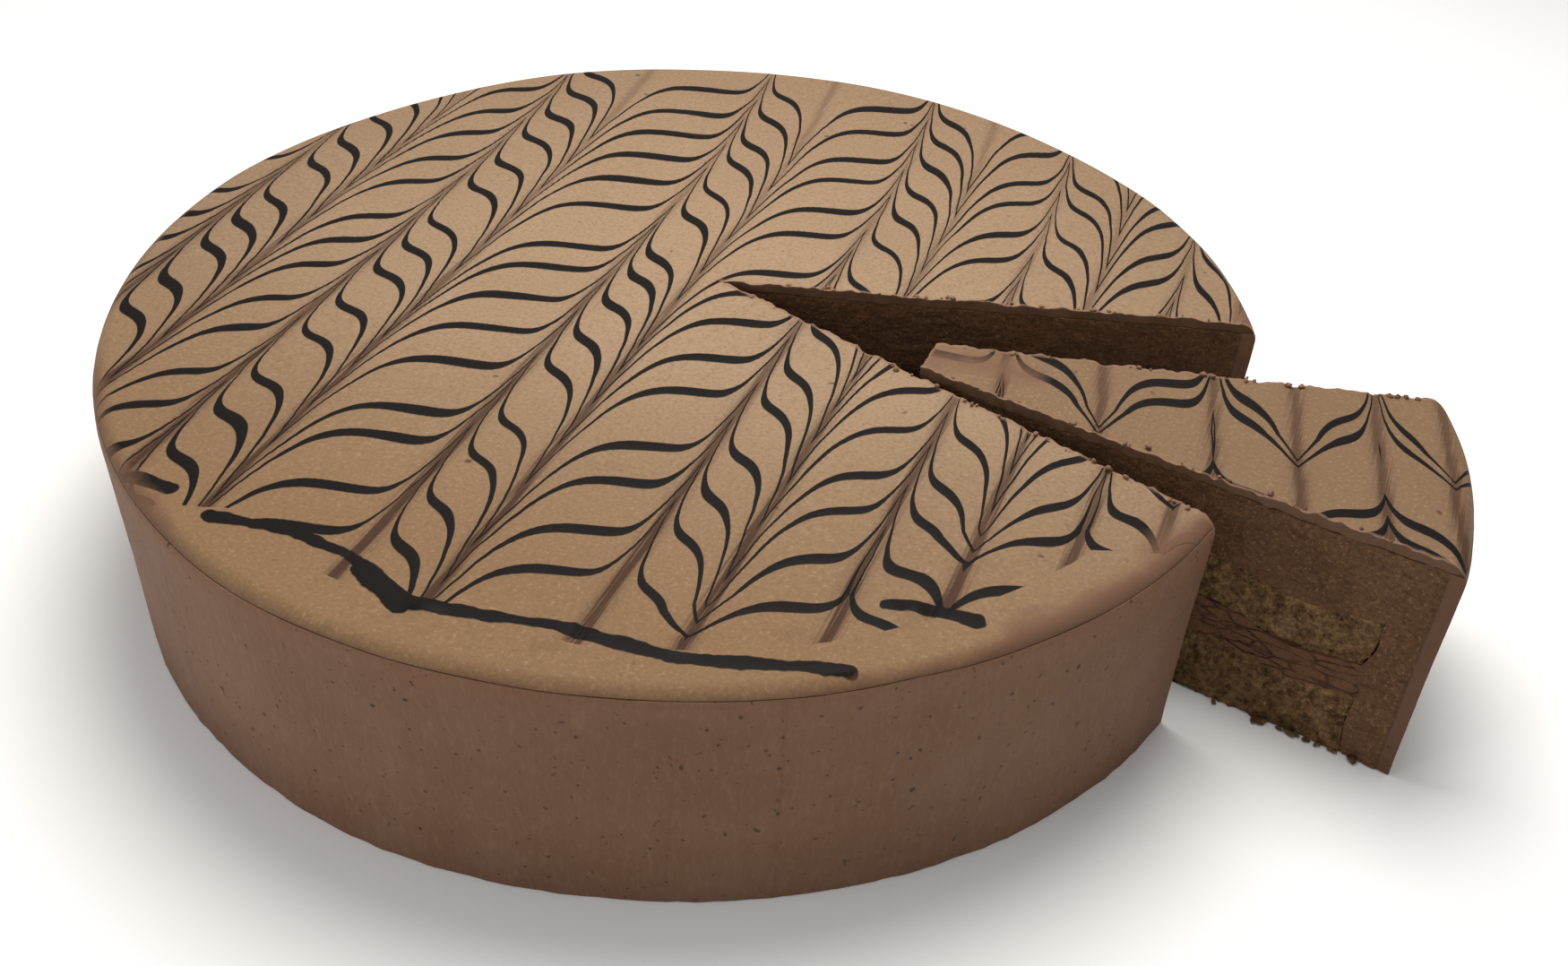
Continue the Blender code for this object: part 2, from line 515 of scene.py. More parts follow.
def dark_lines(finish, x, y, pattern):
    """Where the dark lines are (1 on them), how near a stroke is, and how far along it."""
    wander = finish.grain(55.0, 2.0) - 0.5
    nearest, stroke, along = feathered(x + wander * 0.0012, y + wander * 0.0014, pattern)
    if pattern["paths"]:
        nearest = nearest.least(hand_piped(x, y, pattern, (finish.grain(90.0, 3.0, 0.6) - 0.5) * 0.03))
    width = finish.grain(38.0, 1.0) * 0.012 + (LINE_HALF_WIDTH - 0.006)
    return ((width - nearest) / LINE_SOFTNESS + 0.5).clamped(), stroke, along


def skewer_marks(finish, stroke, along):
    """A stroke's brown shaft and the darker threads along it, both stronger at the front."""
    towards_front = (along * -0.9 + 0.45).clamped() * 0.7 + 0.3
    shaft = (stroke * 1.6 - 0.25).clamped() * towards_front
    threads = finish.grain(1.0, 2.0, vector=finish.stretched((2300.0, 40.0, 40.0)))
    return shaft, (stroke * 2.4 * (threads * 4.2 - 1.2)).clamped() * towards_front


def granular_tan(finish, x, y, on_slice):
    """The pale icing between the lines, with its mottling, granules and air bubbles."""
    # Painted shade: the slice's icing gets a darker, shaded copy of the tan.
    base = TAN_SLICE_SHADE if on_slice else round_tan_painted_light(finish, x, y)
    mottle = (finish.grain(24.0, 3.0) * 1.6 - 0.3).clamped()
    base = finish.blend(mottle * 0.22, base, GRANULE_DARK)
    granules = finish.grain(1150.0, 3.0, 0.7)
    base = finish.blend(((granules - 0.5) * 2.4).clamped(), base, GRANULE_DARK)
    base = finish.blend(((0.44 - granules) * 2.0).clamped(), base, GRANULE_LIGHT)
    # Painted shade: the air bubbles are dark dots, as if shade lay in their pits.
    bubbles = ((finish.grain(260.0, 1.0) - 0.76).clamped() * 14).clamped()
    return finish.blend(bubbles * 0.8, base, BUBBLE_SHADE)


def icing_finish(name, pattern, on_slice):
    finish = Finish(name, 0.55, 0.06)
    x, y, _ = finish.axes()
    line, stroke, along = dark_lines(finish, x, y, pattern)
    shaft, smear = skewer_marks(finish, stroke, along)
    colour = finish.blend(shaft * 0.6, granular_tan(finish, x, y, on_slice), SHAFT_BROWN)
    colour = finish.blend(smear * 0.9, colour, DRAG_BROWN)
    colour = finish.blend(line, colour, DARK_LINE)
    if not on_slice:
        colour = finish.blend(creeping_rim(finish, x, y), colour, SMEARED_COAT)
    colour = finish.blend(knife_smears(finish, x, y, pattern) * 0.85, colour, SMEARED_COAT)
    torn = (finish.attribute("lip") * 1.5 - finish.grain(420.0, 3.0) * 0.9).clamped()
    colour = finish.blend(torn * 0.85, colour, TORN_EDGE)
    colour = finish.blend(finish.attribute("side"), colour, CUT_ICING)
    fine = finish.grain(1500.0, 3.0, 0.7)
    height = fine * 0.35 + line * 0.4 - smear * 0.5 + torn * 0.6
    gloss = line * -0.08 + fine * 0.10 + 0.52
    return finish.feed(Base_Color=colour, Roughness=gloss, Normal=finish.bump(height, 0.00022))


round_icing_finish = icing_finish("feathered_icing", ROUND_PATTERN, on_slice=False)
slice_icing_finish = icing_finish("feathered_icing_slice", SLICE_PATTERN, on_slice=True)
print("icing finishes ready")

# %% [markdown]
# ## Mousse finish
# The coat was smoothed with a knife, so its wall has faint upright streaks, brushed specks, a few pits and
# a thin seam, and the pits' dark colour is painted shade. It is redder near the top. Painted light lies on
# the
# wall too: a painted grey sheen at the left, painted shade towards the foot, and painted shade at the slice's
# outer end. A cut face is darker and closer, with rows where the knife pulled it. One material holds both,
# and the mesh's "inside" mark chooses between them.

# %% Mousse finish
WALL_BROWN = rgba(0.202, 0.108, 0.062)
WALL_SHADE = rgba(0.135, 0.068, 0.040)
WALL_MAUVE_AND_SHEEN = rgba(0.205, 0.127, 0.086)
WALL_RUST = rgba(0.215, 0.105, 0.052)
WALL_LOW = rgba(0.125, 0.056, 0.029)
WALL_SPECK = rgba(0.29, 0.175, 0.115)
WALL_SHADED = rgba(0.078, 0.038, 0.019)
PIT_SHADE = rgba(0.05, 0.027, 0.017)
SEAM_HEADING = math.radians(-58.5)
SEAM_WIDTH = 0.0005
FOOT_SHADE = 0.020
RUST_START = 0.046
RUST_DEPTH = 0.008
SLICE_END = 0.135
CUT_MOUSSE = rgba(0.170, 0.087, 0.040)
CUT_MOUSSE_DARK = rgba(0.058, 0.025, 0.009)
CUT_SPECK = rgba(0.26, 0.145, 0.075)


def wall_seam(x, y):
    """The thin upright line at the front, where the knife's last pass ended."""
    across = abs(x * math.sin(SEAM_HEADING) - y * math.cos(SEAM_HEADING))
    return fading(across, SEAM_WIDTH) * (0 - y).above(0.0)


def smoothed_wall(finish, streaks):
    """The outer wall's colour: clouds and streaks, a painted grey sheen at the left, rust above, and painted
    shade towards the foot.
    """
    x, y, z = finish.axes()
    wall = finish.blend((finish.grain(17.0, 4.0) * 1.4 - 0.25).clamped(), WALL_BROWN, WALL_SHADE)
    # Painted sheen: the wall is greyer at the left, as if a broad highlight lay there.
    left = ((x * -1.0 - 0.02) * 11).clamped()
    wall = finish.blend(left * 0.75, wall, WALL_MAUVE_AND_SHEEN)
    wall = finish.blend((streaks * 1.5 - 0.45).clamped() * 0.5, wall, WALL_SHADE)
    high = ((z - RUST_START) * (1.0 / RUST_DEPTH)).clamped()
    wall = finish.blend(high * 0.45, wall, WALL_RUST)
    # Painted shade: the wall darkens towards the foot.
    low = 1 - (z * (1.0 / FOOT_SHADE)).clamped()
    wall = finish.blend(low * 0.5, wall, WALL_LOW)
    return finish.blend(wall_seam(x, y) * 0.45, wall, WALL_LOW)


def worn_and_shaded_wall(finish, wall, pits):
    """Patches, brushed specks, painted shade on the slice's outer end, and dark pits, over the wall's colour.
    """
    patches = (finish.grain(55.0, 4.0, 0.6) * 2.6 - 1.1).clamped()
    wall = finish.blend(patches * 0.4, wall, WALL_MAUVE_AND_SHEEN)
    brushed = finish.grain(1.0, 2.0, 0.6, finish.stretched((1100.0, 1100.0, 300.0)))
    wall = finish.blend(((brushed - 0.5) * 4).clamped() * 0.22, wall, WALL_SPECK)
    x, _, _ = finish.axes()
    # Painted shade: the slice's outer end is darkened as if in shadow.
    wall = finish.blend(((x - SLICE_END) * 60).clamped() * 0.55, wall, WALL_SHADED)
    # Painted shade: the pits are coloured dark, as if shade lay in them.
    return finish.blend(pits * 0.8, wall, PIT_SHADE)


def cut_mousse(finish, grit, knife):
    """A cut face's colour: grit, darker patches, the knife's rows and bright specks."""
    cut = finish.blend((grit * 2.2 - 0.75).clamped(), CUT_MOUSSE, CUT_MOUSSE_DARK)
    patches = (finish.grain(90.0, 3.0) * 1.8 - 0.6).clamped()
    cut = finish.blend(patches * 0.45, cut, CUT_MOUSSE_DARK)
    cut = finish.blend(((knife - 0.52) * 6).clamped() * 0.55, cut, CUT_MOUSSE_DARK)
    bright = ((finish.grain(1200.0, 2.0, 0.7) - 0.57) * 9).clamped()
    return finish.blend(bright * 0.7, cut, CUT_SPECK)


def mousse_finish():
    finish = Finish("mousse_coat", 0.72, 0.22)
    inside = finish.attribute("inside")
    streaks = finish.grain(1.0, 3.0, 0.6, finish.stretched((420.0, 420.0, 22.0)))
    grit = finish.grain(900.0, 4.0, 0.7)
    knife = finish.grain(1.0, 4.0, 0.7, finish.stretched((90.0, 90.0, 700.0)))
    pits = ((0.30 - finish.grain(700.0, 1.0)).clamped() * 8).clamped()
    wall = worn_and_shaded_wall(finish, smoothed_wall(finish, streaks), pits)
    colour = finish.blend(inside, wall, cut_mousse(finish, grit, knife))
    height = streaks * 0.3 + grit * (inside * 1.1 + 0.35) + knife * inside - pits * 0.8
    return finish.feed(Base_Color=colour, Roughness=grit * 0.15 + 0.66, Normal=finish.bump(height, 0.0006))


finishes = {"mousse": mousse_finish()}
print("finishes", sorted(finishes))

# %% [markdown]
# ## Filling finish
# The filling is a redder mousse that cracked along the cut. A cell pattern's borders give the cracks, and
# a slow noise keeps them to patches. The cracks are coloured dark as painted shade.

# %% Filling finish
FILLING = rgba(0.225, 0.103, 0.050)
FILLING_DARK = rgba(0.050, 0.022, 0.011)
CRACK_SHADE = rgba(0.02, 0.010, 0.006)


def filling_finish():
    finish = Finish("mousse_filling", 0.75, 0.22)
    warped = finish.stretched((150.0, 150.0, 520.0))
    cracks = finish.node("TexVoronoi", {"feature": "DISTANCE_TO_EDGE"}, {"Vector": warped, "Scale": 1.0})
    crack = (1 - cracks * 10).clamped()
    patches = (finish.grain(130.0, 3.0) * 3 - 1.0).clamped()
    colour = finish.blend(finish.grain(800.0, 4.0, 0.7), FILLING, FILLING_DARK)
    # Painted shade: the cracks are coloured dark, as if shade lay in them.
    colour = finish.blend(crack * patches, colour, CRACK_SHADE)
    height = finish.grain(800.0, 4.0, 0.7) - crack * patches * 1.2
    return finish.feed(Base_Color=colour, Normal=finish.bump(height, 0.0009))


finishes["filling"] = filling_finish()
print("finishes", sorted(finishes))

# %% [markdown]
# ## Sponge finish
# Sponge is an open crumb: bright walls with painted highlight specks, and holes coloured dark as painted
# shade. It is darker where it took up syrup, and painted shade makes it darkest near the bottom. Noise draws
# the holes, and a cell pattern makes the bump a little coarser.

# %% Sponge finish
CRUMB = rgba(0.41, 0.245, 0.110)
CRUMB_DARK = rgba(0.050, 0.024, 0.010)
CRUMB_HIGHLIGHT = rgba(0.64, 0.43, 0.21)


def sponge_finish():
    finish = Finish("sponge_crumb", 0.95, 0.15)
    cells = finish.node("TexVoronoi", {"feature": "F1"}, {"Vector": finish.point, "Scale": 900.0})
    crumb = finish.grain(480.0, 6.0, 0.8)
    holes = (crumb * 3.6 - 1.3).clamped()
    # Painted shade: the crumb's holes are coloured dark.
    colour = finish.blend(holes, CRUMB_DARK, CRUMB)
    # Painted highlights: bright specks on the crumb's walls.
    lit = ((finish.grain(1500.0, 3.0, 0.7) - 0.52) * 6).clamped()
    colour = finish.blend(lit * holes * 0.7, colour, CRUMB_HIGHLIGHT)
    damp = (finish.grain(70.0, 3.0) * 2.4 - 0.9).clamped()
    colour = finish.blend(damp * 0.6, colour, CRUMB_DARK)
    _, _, z = finish.axes()
    # Painted shade: the sponge darkens towards the bottom.
    low = (1 - z * (1.0 / FOOT_SHADE)).clamped()
    colour = finish.blend(low * 0.35, colour, CRUMB_DARK)
    height = crumb + cells * -0.4
    return finish.feed(Base_Color=colour, Normal=finish.bump(height, 0.0012))


finishes["upper_sponge"] = sponge_finish()
finishes["lower_sponge"] = finishes["upper_sponge"]
print("finishes", sorted(finishes))

# %% [markdown]
# ## Plans of the round and of the slice
# Each layer is a plan outline drawn upwards. Where a cut shows, the outline has a point every half
# millimetre, so that crumb and cracks can be real relief. The hidden round stretch needs far fewer.

# %% Outlines


def ray_to_circle(start, direction, radius):
    """Where a ray from a point inside a circle round the origin meets that circle."""
    along = start.dot(direction)
    reach = -along + math.sqrt(along * along - start.length_squared + radius * radius)
    return start + direction * reach


def heading(angle):
    return Vector((math.cos(angle), math.sin(angle)))


def straight(start, end, step):
    count = max(2, round((end - start).length / step))
    return [start.lerp(end, place / count) for place in range(count)]


def arc(start, end, radius, step):
    """Points on the circle, anticlockwise from one point up to another, without the last one."""
    first, last = math.atan2(start.y, start.x), math.atan2(end.y, end.x)
    sweep = (last - first) % math.tau
    count = max(2, round(sweep * radius / step))
    return [heading(first + sweep * place / count) * radius for place in range(count)]


def round_outline(radius, cut_step, arc_step):
    near = ray_to_circle(NOTCH_POINT, heading(NOTCH_NEAR), radius)
    far = ray_to_circle(NOTCH_POINT, heading(NOTCH_FAR), radius)
    return (
        arc(far, near, radius, arc_step)
        + straight(near, NOTCH_POINT, cut_step)
        + straight(NOTCH_POINT, far, cut_step)
    )


def slice_outline(radius, cut_step, arc_step):
    near_rim = ray_to_circle(SLICE_TIP_NEAR, heading(SLICE_NEAR), radius)
    far_rim = ray_to_circle(SLICE_TIP_FAR, heading(SLICE_FAR), radius)
    return (
        arc(near_rim, far_rim, radius, arc_step)
        + straight(far_rim, SLICE_TIP_FAR, cut_step)
        + straight(SLICE_TIP_FAR, SLICE_TIP_NEAR, cut_step)
        + straight(SLICE_TIP_NEAR, near_rim, cut_step)
    )


print("outline points", len(round_outline(RADIUS, 0.0006, 0.002)), len(slice_outline(RADIUS, 0.0005, 0.0015)))

# %% [markdown]
# ## Drawing a layer upwards
# A ring of edges is extruded row by row, and both ends are closed. The rows give the cut faces a regular
# net. The coat then gets its inside taken out by a Boolean, with a plain core as the cutter.

# %% Layer walls


def drawn_up(outline, low, high, row_step):
    """A closed upright shape over an outline, with its wall in even rows."""
    shape = bmesh.new()
    corners = [shape.verts.new((point.x, point.y, low)) for point in outline]
    ring = [shape.edges.new(pair) for pair in zip(corners, corners[1:] + corners[:1])]
    bmesh.ops.contextual_create(shape, geom=ring)
    rows = max(1, round((high - low) / row_step))
    for _ in range(rows):
        grown = bmesh.ops.extrude_edge_only(shape, edges=ring)["geom"]
        raised = {item for item in grown if isinstance(item, bmesh.types.BMVert)}
        bmesh.ops.translate(shape, verts=list(raised), vec=(0, 0, (high - low) / rows))
        edges = (item for item in grown if isinstance(item, bmesh.types.BMEdge))
        ring = [edge for edge in edges if raised.issuperset(edge.verts)]
    bmesh.ops.contextual_create(shape, geom=ring)
    bmesh.ops.recalc_face_normals(shape, faces=shape.faces[:])
    return shape


def as_object(name, shape):
    mesh = bpy.data.meshes.new(name)
    shape.to_mesh(mesh)
    shape.free()
    thing = bpy.data.objects.new(name, mesh)
    bpy.context.scene.collection.objects.link(thing)
    return thing


def take_out(thing, cutter):
    """Cuts one object's shape out of another for good, and removes the cutter."""
    cut = thing.modifiers.new("cut", "BOOLEAN")
    cut.object = cutter
    cut.operation = "DIFFERENCE"
    cut.solver = "EXACT"
    bpy.context.view_layer.update()
    graph = bpy.context.evaluated_depsgraph_get()
    mesh = bpy.data.meshes.new_from_object(thing.evaluated_get(graph))
    thing.modifiers.clear()
    thing.data = mesh
    bpy.data.objects.remove(cutter)


print("wall tools ready")

# %% [markdown]
# ## The form of the real cake
# A straight drawn wall becomes the real one when each of its points is moved: in towards the axis where
# the foot is narrower and the top edge is rounded, and a little out of round, as a hand leaves it.
# Borders between the layers rise and fall by under a millimetre.

# %% Form
OUT_OF_ROUND = ((2, 0.0007, 0.6), (3, 0.0004, 2.1), (5, 0.0003, 4.0))
TOP_UNEVENNESS = 0.0004
UNEVEN_LENGTH = 0.021
BORDER_WAVE = 0.0034
WALL_WAVE = 0.0032
BORDER_GRAIN = 45.0
WALL_GRAIN = 110.0
WALL_WAVE_REACH = 0.0035
OUTER_SKIN = 0.0012


def rounded_in(point):
    """Moves a point of a straight wall to the leaning wall with its rounded top edge."""
    shoulder = CAKE_HEIGHT - EDGE_ROUNDING
    if point.z < shoulder:
        target = FOOT_RADIUS + (RADIUS - FOOT_RADIUS) * point.z / shoulder
    else:
        rise = math.asin(min((point.z - shoulder) / EDGE_ROUNDING, 1.0))
        target = RADIUS - EDGE_ROUNDING * (1.0 - math.cos(rise))
    nearness = min(math.hypot(point.x, point.y) / RADIUS, 1.0) ** 8
    inwards = 1.0 - (1.0 - target / RADIUS) * nearness
    return Vector((point.x * inwards, point.y * inwards, point.z))


def settled(point):
    """Where a point of the ideal cake lies in the slightly uneven one, as in the solids."""
    angle = math.atan2(point.y, point.x)
    radius = math.hypot(point.x, point.y)
    outwards = sum(size * math.sin(waves * angle + start) for waves, size, start in OUT_OF_ROUND)
    stretch = 1.0 + outwards * radius / RADIUS ** 2
    ripple = math.sin(point.x / UNEVEN_LENGTH + 1.0) * math.cos(point.y / UNEVEN_LENGTH)
    lift = TOP_UNEVENNESS * ripple * point.z / CAKE_HEIGHT
    share = point.z / CAKE_HEIGHT
    flat = Vector((point.x, point.y, 0.0))
    wave = BORDER_WAVE * noise.noise(flat * BORDER_GRAIN) * 4 * share * (1 - share)
    wall_border = FOOT_RADIUS - MOUSSE_WALL
    nearness = math.exp(-((radius - wall_border) / WALL_WAVE_REACH) ** 2)
    stretch += WALL_WAVE * noise.noise(point * WALL_GRAIN) * nearness / wall_border
    return Vector((point.x * stretch, point.y * stretch, point.z + lift + wave))


def is_outer_wall(point):
    return math.hypot(point.x, point.y) > FOOT_RADIUS - OUTER_SKIN


print("form ready")

# %% [markdown]
# ## Relief of each food
# Crumb, cracks and knife marks are moved into the mesh itself along the wall's own direction, so they
# show in any light and in the shape itself. Each food has its own rule.

# %% Relief rules


def sponge_relief(point):
    rough = noise.noise(point * 130.0) * 0.0006
    crumb = noise.noise(point * 620.0) * 0.0006 + noise.noise(point * 1300.0) * 0.0004
    return rough + crumb - 0.0006


def filling_relief(point):
    flat = Vector((point.x * 170.0, point.y * 170.0, point.z * 640.0))
    crack = max(0.0, 0.09 - abs(noise.noise(flat))) / 0.09
    where = max(0.0, noise.noise(point * 75.0) + 0.25)
    return noise.noise(point * 240.0) * 0.0003 - crack * where * 0.0012


def mousse_relief(point):
    if is_outer_wall(point):
        ragged = max(0.0, 1.0 - point.z / 0.0035) * noise.noise(Vector((point.x, point.y, 0.0)) * 260.0)
        return noise.noise(point * 60.0) * 0.00025 + noise.noise(point * 300.0) * 0.00006 + ragged * 0.0003
    torn = noise.noise(point * 95.0) * 0.0006 + noise.noise(point * 420.0) * 0.00032
    return torn + noise.noise(point * 1100.0) * 0.0001


def shaped(thing, relief):
    """Gives a drawn layer its real form and relief, and marks its cut faces for the finish."""
    mesh = thing.data
    inside = mesh.attributes.new("inside", "FLOAT", "POINT")
    normals = [vertex.normal.copy() for vertex in mesh.vertices]
    for vertex, normal in zip(mesh.vertices, normals):
        level = Vector((normal.x, normal.y, 0.0))
        length = level.length
        inside.data[vertex.index].value = 0.0 if is_outer_wall(vertex.co) else 1.0
        offset = relief(vertex.co) if length > 0.3 else 0.0
        point = rounded_in(vertex.co) + (level / length * offset if length > 0.3 else Vector())
        vertex.co = settled(point)
    mesh.update()


print("relief rules ready")

# %% [markdown]
# ## Building the layers twice
# The round and the slice use the same steps, with another outline and another place. The slice is
# shaped where it grew, and only then moved to where it was drawn out.

# %% Layers
CUT_STEP = {"mousse": 0.0006, "upper_sponge": 0.00045, "lower_sponge": 0.00045, "filling": 0.00045}
RELIEF = {
    "mousse": mousse_relief, "filling": filling_relief,
    "upper_sponge": sponge_relief, "lower_sponge": sponge_relief,
}
CORE_REACH = 0.002
CORE_STEP = 0.003
CORE_SHIFT = Vector((0.004, 0.0))
CORE_SPREAD = math.radians(6.0)
LAYER_ARC_STEP = 0.004
COAT_ARC_STEP = 0.0019
ONE_ROW = 0.1
SHARP_ANGLE = math.radians(50)


def finish_piece(thing, node, finish):
    thing.data.materials.clear()
    thing.data.materials.append(finish)
    thing.data.shade_smooth()
    thing.data.set_sharp_from_angle(angle=SHARP_ANGLE)
    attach(thing, "root")
    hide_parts(node)
    print(thing.name, len(thing.data.polygons), "faces")


def inner_layer(owner, outline, layer, place):
    low, high = LAYER_SPANS[layer]
    radius = FOOT_RADIUS - MOUSSE_WALL + LAYER_GAP
    step = CUT_STEP[layer]
    shape = drawn_up(outline(radius, step, LAYER_ARC_STEP), max(low - LAYER_GAP, 0.0), high + LAYER_GAP, step)
    thing = as_object(f"{owner}_{layer}_crumb", shape)
    shaped(thing, RELIEF[layer])
    thing.data.transform(place)
    return thing


def coat(owner, outline, place):
    """The mousse: a slab and an outer wall, with the room for the inner layers taken out."""
    step = CUT_STEP["mousse"]
    slab = drawn_up(outline(RADIUS, step, COAT_ARC_STEP), 0.0, MOUSSE_SPAN[1], step * 1.2)
    thing = as_object(f"{owner}_mousse_coat", slab)
    core_radius = FOOT_RADIUS - MOUSSE_WALL
    core = drawn_up(core_outline(owner, core_radius), -CORE_REACH, MOUSSE_SPAN[0], ONE_ROW)
    take_out(thing, as_object("core", core))
    shaped(thing, RELIEF["mousse"])
    thing.data.transform(place)
    return thing


def core_outline(owner, radius):
    """The inner layers' plan, carried past the cut faces so that it opens them."""
    if owner == "round":
        point = NOTCH_POINT + CORE_SHIFT
        near = ray_to_circle(point, heading(NOTCH_NEAR), radius)
        far = ray_to_circle(point, heading(NOTCH_FAR), radius)
        return arc(far, near, radius, CORE_STEP) + [near, point]
    near = ray_to_circle(SLICE_TIP_NEAR, heading(SLICE_NEAR - CORE_SPREAD), radius)
    far = ray_to_circle(SLICE_TIP_FAR, heading(SLICE_FAR + CORE_SPREAD), radius)
    behind = Vector((CORE_REACH * 2, 0.0))
    return arc(near, far, radius, CORE_STEP) + [far, SLICE_TIP_FAR - behind, SLICE_TIP_NEAR - behind]


NO_MOVE = Matrix.Identity(4)
for owner, outline, place, prefix in (
    ("round", round_outline, NO_MOVE, "cake"), ("wedge", slice_outline, SLICE_PLACE, "slice"),
):
    for layer in LAYER_SPANS:
        piece = inner_layer(owner, outline, layer, place)
        finish_piece(piece, f"{prefix}_{layer}", finishes[layer])
    finish_piece(coat(owner, outline, place), f"{prefix}_mousse", finishes["mousse"])

# %% [markdown]
# ## The icing sheet
# The icing is a fan: its rows spread from the notch's point, or from the slice's tip, to the rounded
# rim. A flat grid is bent into that fan, its border is extruded down, and the underside is closed. The
# pattern's own formula then presses the strokes into the sheet and lifts the torn lips of the cuts.

# %% Icing sheet
FLAT_SHARE = 0.95
SHOULDER_END = math.radians(30.0)
STROKE_DEPTH = 0.00032
LINE_RISE = 0.00012
LIP_WIDTH = 0.0014
LIP_RISE = 0.0005
TEAR_SCALES = ((230.0, 0.6), (610.0, 0.6))
SIDE_START = 0.00025
SHEET_SINK = 0.0001
DAB_WIDTH = 0.018
DAB_RISE = 0.0011
DABS = ((-0.31, -0.84), (-0.13, -0.90), (0.045, -0.885), (0.19, -0.85), (0.37, -0.80))


def fan_point(apex, angle, start, share):
    """A point of the fan: flat out to the shoulder, and then down over the rounded edge."""
    direction = heading(angle)
    first = apex + direction * start
    if share <= FLAT_SHARE:
        last = ray_to_circle(apex, direction, RADIUS - EDGE_ROUNDING)
        flat = first.lerp(last, share / FLAT_SHARE)
        return Vector((flat.x, flat.y, CAKE_HEIGHT))
    down = (share - FLAT_SHARE) / (1.0 - FLAT_SHARE)
    tilt = math.pi / 2 + (SHOULDER_END - math.pi / 2) * down
    reach = RADIUS - EDGE_ROUNDING * (1.0 - math.cos(tilt))
    edge = ray_to_circle(apex, direction, reach)
    return Vector((edge.x, edge.y, CAKE_HEIGHT - EDGE_ROUNDING * (1.0 - math.sin(tilt))))


def crossing(first, first_angle, second, second_angle):
    """Where two lines of the plan meet, each given by a point and a direction."""
    ahead, other = heading(first_angle), heading(second_angle)
    apart = second - first
    return first + ahead * (apart.cross(other) / ahead.cross(other))


def icing_sheet(name, apex, angles, tip, segments, rings):
    """A fan between two angles. A blunt tip is the line between the two given corners."""
    shape = bmesh.new()
    bmesh.ops.create_grid(shape, x_segments=segments, y_segments=rings, size=1.0)
    for vertex in shape.verts:
        angle = angles[0] + (angles[1] - angles[0]) * (vertex.co.x + 1) / 2
        start = 0.0
        if tip:
            across = tip[1] - tip[0]
            corner = crossing(apex, angle, tip[0], math.atan2(across.y, across.x))
            start = (corner - apex).length
        vertex.co = fan_point(apex, angle, start, (vertex.co.y + 1) / 2)
    bmesh.ops.remove_doubles(shape, verts=shape.verts[:], dist=1e-7)
    side = shape.verts.layers.float.new("side")
    border = [edge for edge in shape.edges if edge.is_boundary]
    for drop in (SIDE_START, CAKE_HEIGHT):
        grown = bmesh.ops.extrude_edge_only(shape, edges=border)["geom"]
        lowered = {item for item in grown if isinstance(item, bmesh.types.BMVert)}
        for vertex in lowered:
            vertex.co.z = max(vertex.co.z - drop, ICING_SPAN[0] - SHEET_SINK)
            vertex[side] = 1.0
        edges = (item for item in grown if isinstance(item, bmesh.types.BMEdge))
        border = [edge for edge in edges if lowered.issuperset(edge.verts)]
    bmesh.ops.contextual_create(shape, geom=border)
    bmesh.ops.recalc_face_normals(shape, faces=shape.faces[:])
    return as_object(name, shape)


def lip_strength(points, cuts):
    """1 on a cut edge, falling to nought over the width of its torn lip."""
    nearest = reduce(least, [segment_distance(points[:, 0], points[:, 1], *cut) for cut in cuts])
    return np.clip(1.0 - nearest / LIP_WIDTH, 0.0, 1.0)


def read_points(mesh):
    points = np.zeros(len(mesh.vertices) * 3)
    mesh.vertices.foreach_get("co", points)
    return points.reshape(-1, 3)


def pattern_lift(points, pattern):
    """How far the lines and dabs stand up, less how deep the strokes are pressed in."""
    x, y = points[:, 0], points[:, 1]
    nearest, stroke, _ = feathered(x, y, pattern)
    nearest = least(nearest, hand_piped(x, y, pattern, 0.0))
    lines = np.clip((LINE_HALF_WIDTH - nearest) / 0.004 + 0.5, 0.0, 1.0)
    lift = lines * LINE_RISE - np.clip(stroke, 0.0, 1.0) * STROKE_DEPTH
    plan_x, plan_y = plan_point(x, y)
    for dab_x, dab_y in DABS:
        spread = ((plan_x - dab_x) ** 2 + (plan_y - dab_y) ** 2) / DAB_WIDTH ** 2
        lift = lift + np.exp(-spread) * DAB_RISE
    return lift


def torn_roughness(points):
    return sum(
        share * np.array([noise.noise(Vector(point) * scale) for point in points])
        for scale, share in TEAR_SCALES
    )


def press_pattern(thing, pattern, cuts, place):
    """Relief of the icing's top: strokes pressed in, lines and dabs raised, cut edges torn up."""
    mesh = thing.data
    points = read_points(mesh)
    lip = lip_strength(points, cuts)
    mesh.attributes.new("lip", "FLOAT", "POINT").data.foreach_set("value", lip)
    on_top = np.clip((points[:, 2] - CAKE_HEIGHT + 0.0003) / 0.0002, 0.0, 1.0)
    for vertex in mesh.vertices:
        vertex.co = settled(vertex.co)
    mesh.transform(place)
    moved = read_points(mesh)
    tear = torn_roughness(moved)
    moved[:, 2] += (pattern_lift(moved, pattern) + lip * (tear * LIP_RISE + 0.0001)) * on_top
    moved[:, 0] += lip * np.roll(tear, 7) * 0.0004
    moved[:, 1] += lip * tear * 0.0006
    mesh.vertices.foreach_set("co", moved.reshape(-1))
    mesh.update()


near_rim = ray_to_circle(NOTCH_POINT, heading(NOTCH_NEAR), RADIUS)
far_rim = ray_to_circle(NOTCH_POINT, heading(NOTCH_FAR), RADIUS)
round_angles = (NOTCH_FAR, NOTCH_NEAR + math.tau)
round_sheet = icing_sheet("round_icing", NOTCH_POINT, round_angles, tip=None, segments=540, rings=150)
press_pattern(round_sheet, ROUND_PATTERN, ((NOTCH_POINT, near_rim), (NOTCH_POINT, far_rim)), NO_MOVE)
finish_piece(round_sheet, "cake_icing", round_icing_finish)

